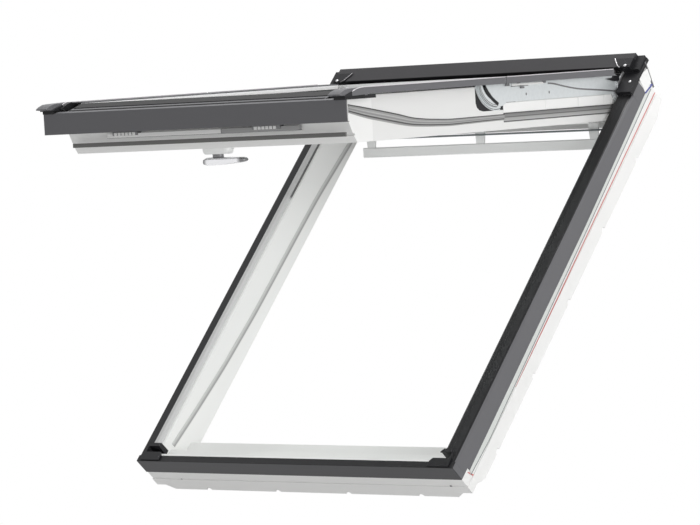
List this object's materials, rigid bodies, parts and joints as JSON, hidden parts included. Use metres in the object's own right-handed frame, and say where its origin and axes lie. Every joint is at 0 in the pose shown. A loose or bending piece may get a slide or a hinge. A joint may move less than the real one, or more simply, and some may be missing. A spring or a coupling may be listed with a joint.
{
  "type": "roof window",
  "caption": "Tilted roof window with a white frame and a glazed sash that opens on top hinges and turns about its middle on two curved guides.",
  "frame": {"origin": "centre of the frame on the plane of its inner, room-side face", "axes": "+X to the right seen from outside, +Y up the roof slope, +Z outward towards the sky"},
  "size_m": [0.78, 0.98, 0.7206],
  "materials": {
    "frame_white": "satin",
    "sash_white": "satin",
    "dark_sheet": "satin",
    "black_plastic": "matte",
    "black_rubber": "matte",
    "grey_rubber": "matte",
    "steel": "satin",
    "handle_metal": "satin",
    "bar_metal": "satin",
    "glass": "clear"
  },
  "bodies": {
    "frame": {"frame_stile_left": "frame_white", "frame_stile_right": "frame_white", "lower_stile_cover_left": "dark_sheet", "lower_stile_cover_right": "dark_sheet", "upper_stile_cover_left": "dark_sheet", "upper_stile_cover_right": "dark_sheet", "head_block_left": "black_plastic", "head_block_right": "black_plastic", "corner_block_left": "black_plastic", "corner_block_right": "black_plastic", "weather_seal_left": "grey_rubber", "weather_seal_right": "black_rubber", "frame_gasket_left": "grey_rubber", "frame_gasket_right": "grey_rubber", "striker_plate_left": "steel", "striker_plate_right": "steel", "hinge_bracket_left": "steel", "hinge_bracket_right": "steel", "hinge_pin_left": "steel", "hinge_pin_right": "steel", "bracket_screws_left": "steel", "bracket_screws_right": "steel", "frame_bottom_rail": "frame_white", "frame_top_rail": "frame_white", "bottom_rail_cover": "dark_sheet", "hood": "dark_sheet"},
    "arms": {"arm_left": "steel", "arm_right": "steel", "arm_cover_left": "dark_sheet", "arm_cover_right": "dark_sheet", "cross_cover": "dark_sheet"},
    "sash": {"sash_stile_left": "sash_white", "sash_stile_right": "sash_white", "sash_side_cover_left": "dark_sheet", "sash_side_cover_right": "dark_sheet", "corner_cap_left": "black_plastic", "corner_cap_right": "black_plastic", "pivot_guide_left": "black_plastic", "pivot_guide_right": "black_plastic", "sash_gasket_left": "black_rubber", "sash_gasket_right": "black_rubber", "lock_fitting_left": "steel", "lock_fitting_right": "steel", "sash_bottom_rail": "sash_white", "sash_top_rail": "sash_white", "outer_pane": "glass", "inner_pane": "glass", "glass_spacer": "steel", "outer_glazing_seal": "black_rubber", "sash_bottom_cover": "dark_sheet", "sash_top_cover": "dark_sheet", "rail_gasket": "black_rubber", "lock_rail": "steel", "handle_base": "handle_metal"},
    "handle": {"handle_lever": "handle_metal"},
    "vent": {"vent_flap": "bar_metal", "vent_bar": "bar_metal", "bar_bracket_left": "bar_metal", "bar_bracket_middle": "bar_metal", "bar_bracket_right": "bar_metal"}
  },
  "joints": [
    {"name": "top_hinge", "type": "hinge", "parent": "frame", "child": "arms", "pos_m": [0, 0.397, 0.038], "axis": [-1, 0, 0], "range_deg": [-46.5, 0]},
    {"name": "sash_pivot", "type": "hinge", "parent": "arms", "child": "sash", "pos_m": [0, 0.18836, 0.39006], "axis": [-1, 0, 0], "range_deg": [0, 120]},
    {"name": "handle_turn", "type": "hinge", "parent": "sash", "child": "handle", "pos_m": [-0.033, -0.15706, 0.58408], "axis": [0, 0.7254, 0.6884], "range_deg": [0, 90]},
    {"name": "vent_tilt", "type": "hinge", "parent": "sash", "child": "vent", "pos_m": [0, 0.34946, 0.07284], "axis": [-1, 0, 0], "range_deg": [0, 35]}
  ]
}
